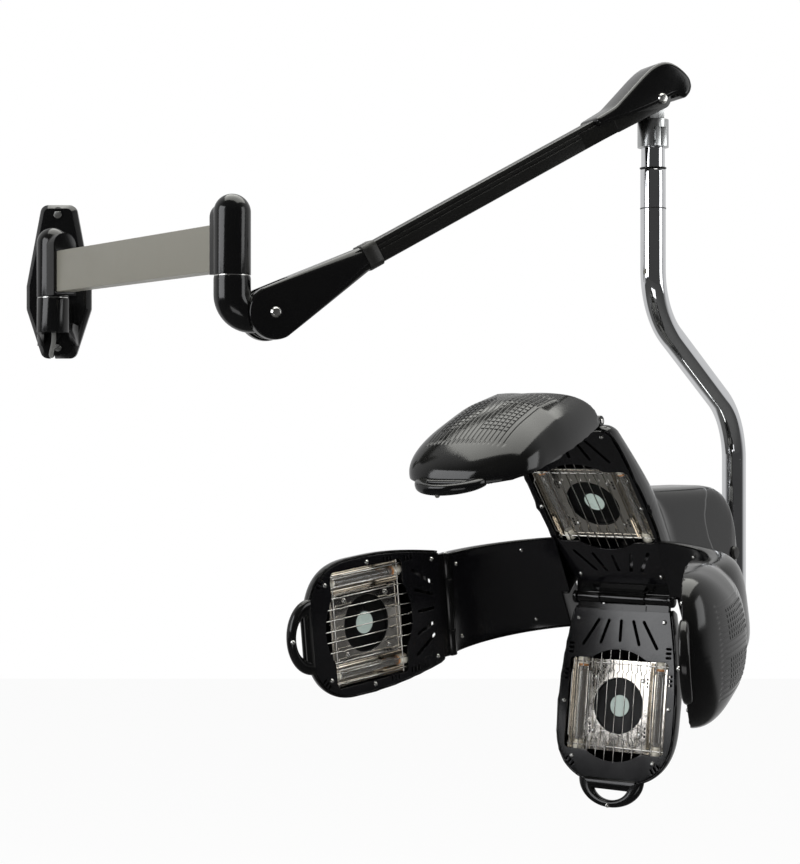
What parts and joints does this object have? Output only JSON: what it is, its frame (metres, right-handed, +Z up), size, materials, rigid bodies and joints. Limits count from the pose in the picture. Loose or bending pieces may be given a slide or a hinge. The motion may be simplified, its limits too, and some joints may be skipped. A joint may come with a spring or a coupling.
{
  "type": "wall-mounted infrared hood dryer",
  "caption": "Wall-mounted salon hood dryer: a swinging bar, a balanced lift arm and a bent tube carry five hinged infrared heater pods with fans.",
  "frame": {"origin": "half way between the centres of the two wall screw holes, on the wall plane", "axes": "+X to the right along the wall, +Y into the wall, +Z up; the dryer stands in front of the wall, on the -Y side"},
  "size_m": [1.0796, 0.859, 1.0112],
  "materials": {
    "black_casting": "gloss black paint on an aluminium casting",
    "black_gloss": "moulded gloss black plastic",
    "black_matte": "matt black plastic",
    "black_aluminium": "gloss black coated aluminium tube",
    "grey_steel": "grey steel with a soft sheen",
    "bright_steel": "bright plated steel",
    "chrome": "polished chrome",
    "satin_chrome": "satin plated steel",
    "chrome_wire": "bright plated wire",
    "reflector": "polished sheet with clear quartz tubes and white ceramic ends",
    "panel_black": "satin black heat-proof plastic",
    "fan_black": "matt black plastic",
    "cable_rubber": "grey rubber sheath",
    "white_plastic": "off-white plastic",
    "red_plastic": "red plastic",
    "grey_plastic": "grey plastic"
  },
  "bodies": {
    "wall_mount": {"wall_plate": "black_casting", "wall_screws": "bright_steel", "supply_cable": "cable_rubber", "terminal_block": "white_plastic"},
    "swing_bar": {"swivel_pins": "bright_steel", "wall_knuckle": "black_casting", "swing_bar": "grey_steel", "elbow_upper": "black_casting"},
    "elbow": {"elbow_lower": "black_casting"},
    "lift_arm": {"arm_near_cover": "black_gloss", "arm_collar": "black_matte", "arm_beam": "black_aluminium", "arm_far_cover": "black_gloss", "arm_pins": "bright_steel", "balance_spring": "grey_steel"},
    "tie_rod": {"tie_rod": "grey_steel"},
    "hanger": {"hanger_bracket": "satin_chrome", "tube_neck": "chrome"},
    "hood_tube": {"hood_tube": "chrome", "tube_rings": "black_matte"},
    "hood": {"tilt_bolt": "bright_steel", "rear_housing": "black_gloss", "end_cap": "black_gloss", "wing_liners": "panel_black", "hinge_pins": "bright_steel", "control_panel": "black_matte", "side_wings": "black_gloss", "hub_shell": "black_gloss", "hub_panel": "panel_black", "hub_guard": "chrome_wire", "hub_heater": "reflector", "hub_fan": "fan_black"},
    "hub_fan_wheel": {"hub_rotor": "fan_black"},
    "power_key": {"power_button": "red_plastic"},
    "time_up_key": {"time_up_button": "grey_plastic"},
    "time_down_key": {"time_down_button": "grey_plastic"},
    "top_pod": {"top_shell": "black_gloss", "top_panel": "panel_black", "top_guard": "chrome_wire", "top_heater": "reflector", "top_fan": "fan_black"},
    "top_fan_wheel": {"top_rotor": "fan_black"},
    "left_pod": {"left_shell": "black_gloss", "left_panel": "panel_black", "left_guard": "chrome_wire", "left_heater": "reflector", "left_fan": "fan_black"},
    "left_fan_wheel": {"left_rotor": "fan_black"},
    "right_pod": {"right_shell": "black_gloss", "right_panel": "panel_black", "right_guard": "chrome_wire", "right_heater": "reflector", "right_fan": "fan_black"},
    "right_fan_wheel": {"right_rotor": "fan_black"},
    "bottom_pod": {"bottom_shell": "black_gloss", "bottom_panel": "panel_black", "bottom_guard": "chrome_wire", "bottom_heater": "reflector", "bottom_fan": "fan_black"},
    "bottom_fan_wheel": {"bottom_rotor": "fan_black"}
  },
  "joints": [
    {"name": "wall_swivel", "type": "hinge", "parent": "wall_mount", "child": "swing_bar", "pos_m": [0, -0.06, 0], "axis": [0, 0, 1], "range_deg": [-120, 50]},
    {"name": "elbow_swivel", "type": "hinge", "parent": "swing_bar", "child": "elbow", "pos_m": [0.30324, -0.49468, 0], "axis": [0, 0, 1], "range_deg": [-215, 65]},
    {"name": "arm_lift", "type": "hinge", "parent": "elbow", "child": "lift_arm", "pos_m": [0.34998, -0.47692, -0.075], "axis": [0.3551, -0.9348, 0], "range_deg": [-40, 12]},
    {"name": "tie_rod_turn", "type": "hinge", "parent": "elbow", "child": "tie_rod", "pos_m": [0.34998, -0.47692, -0.065], "axis": [0.3551, -0.9348, 0], "range_deg": [-40, 12]},
    {"name": "hanger_level", "type": "hinge", "parent": "lift_arm", "child": "hanger", "pos_m": [0.86853, -0.27995, 0.22995], "axis": [0.3551, -0.9348, 0], "range_deg": [-12, 40]},
    {"name": "tube_swivel", "type": "hinge", "parent": "hanger", "child": "hood_tube", "pos_m": [0.86853, -0.27995, 0.22995], "axis": [0, 0, 1], "range_deg": [-165, 165]},
    {"name": "hood_tilt", "type": "hinge", "parent": "hood_tube", "child": "hood", "pos_m": [0.94964, -0.1683, -0.40005], "axis": [0.809, -0.5878, 0], "range_deg": [-20, 20]},
    {"name": "top_pod_hinge", "type": "hinge", "parent": "hood", "child": "top_pod", "pos_m": [0.71597, -0.48993, -0.21428], "axis": [0.809, -0.5878, 0], "range_deg": [-60, 30]},
    {"name": "bottom_pod_hinge", "type": "hinge", "parent": "hood", "child": "bottom_pod", "pos_m": [0.8209, -0.34549, -0.45349], "axis": [-0.809, 0.5878, 0], "range_deg": [-45, 35]},
    {"name": "left_pod_hinge", "type": "hinge", "parent": "hood", "child": "left_pod", "pos_m": [0.58396, -0.35008, -0.46005], "axis": [0.0716, 0.0986, -0.9925], "range_deg": [-22, 34]},
    {"name": "right_pod_hinge", "type": "hinge", "parent": "hood", "child": "right_pod", "pos_m": [0.88977, -0.57226, -0.46005], "axis": [-0.0716, -0.0986, 0.9925], "range_deg": [-34, 22]},
    {"name": "hub_fan_spin", "type": "hinge", "parent": "hood", "child": "hub_fan_wheel", "pos_m": [0.76978, -0.41586, -0.32805], "axis": [0.4503, 0.6197, 0.6428], "continuous": true},
    {"name": "top_fan_spin", "type": "hinge", "parent": "top_pod", "child": "top_fan_wheel", "pos_m": [0.63578, -0.6003, -0.26044], "axis": [-0.1768, -0.2433, 0.9537], "continuous": true},
    {"name": "left_fan_spin", "type": "hinge", "parent": "left_pod", "child": "left_fan_wheel", "pos_m": [0.47957, -0.44781, -0.47729], "axis": [-0.67, 0.7419, 0.0253], "continuous": true},
    {"name": "right_fan_spin", "type": "hinge", "parent": "right_pod", "child": "right_fan_wheel", "pos_m": [0.85748, -0.71169, -0.47623], "axis": [0.9764, -0.2104, 0.0496], "continuous": true},
    {"name": "bottom_fan_spin", "type": "hinge", "parent": "bottom_pod", "child": "bottom_fan_wheel", "pos_m": [0.80738, -0.36411, -0.59567], "axis": [0.5821, 0.8011, -0.1392], "continuous": true},
    {"name": "power_press", "type": "slide", "parent": "hood", "child": "power_key", "axis": [0.809, -0.5878, 0], "range_m": [0, 0.0015], "stiffness_N_per_m": 1500},
    {"name": "time_up_press", "type": "slide", "parent": "hood", "child": "time_up_key", "axis": [0.809, -0.5878, 0], "range_m": [0, 0.0015], "stiffness_N_per_m": 1500},
    {"name": "time_down_press", "type": "slide", "parent": "hood", "child": "time_down_key", "axis": [0.809, -0.5878, 0], "range_m": [0, 0.0015], "stiffness_N_per_m": 1500}
  ],
  "couplings": [
    {"joint": "hanger_level", "follows": "arm_lift", "ratio": -1},
    {"joint": "tie_rod_turn", "follows": "arm_lift", "ratio": 1}
  ]
}
